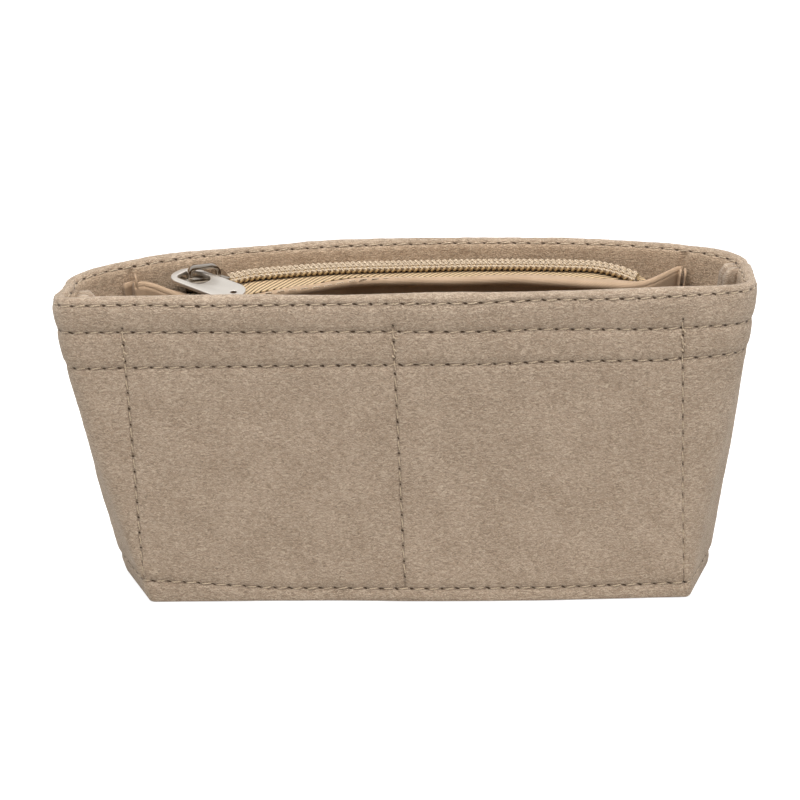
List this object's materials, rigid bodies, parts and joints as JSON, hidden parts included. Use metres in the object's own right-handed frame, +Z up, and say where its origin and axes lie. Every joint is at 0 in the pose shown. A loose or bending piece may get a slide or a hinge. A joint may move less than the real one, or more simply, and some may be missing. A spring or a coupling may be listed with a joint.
{
  "type": "felt cosmetic bag",
  "caption": "Open felt cosmetic bag with a flared mouth, a flat pointed base, a stitched rim, a slip pocket and a zipped cloth pouch along its rear wall.",
  "frame": {"origin": "on the surface the bag stands on, under the middle of its outline", "axes": "+X to the right along the bag, +Y from the front wall to the rear wall, +Z up"},
  "size_m": [0.1518, 0.0459, 0.07],
  "materials": {
    "felt": "needled wool-look felt, matt, with loose fibres",
    "lining": "plain woven polyester lining, soft sheen",
    "tape": "twill woven zip tape",
    "coil": "moulded nylon coil, satin",
    "nickel": "polished nickel plate"
  },
  "bodies": {
    "bag": {"front_panel": "felt", "rear_panel": "felt", "base_panel": "felt", "front_pocket_panel": "felt", "coil_row_rear": "coil", "coil_row_front": "coil", "zip_tape_front": "tape", "zip_tape_rear": "tape", "pouch_front_cloth": "lining", "pouch_rear_cloth": "lining"},
    "slider": {"slider_body": "nickel"},
    "pull": {"slider_pull": "nickel"}
  },
  "joints": [
    {"name": "zip_travel", "type": "hinge", "parent": "bag", "child": "slider", "pos_m": [0.0077, -0.167, 0.06401], "axis": [0.014, 0, -0.9999], "range_deg": [0, 28], "deforming": ["coil_row_front", "coil_row_rear"]},
    {"name": "pull_swing", "type": "hinge", "parent": "slider", "child": "pull", "pos_m": [-0.04505, 0.00501, 0.06712], "axis": [-0.7664, 0.6419, 0.0242], "range_deg": [0, 150]}
  ]
}
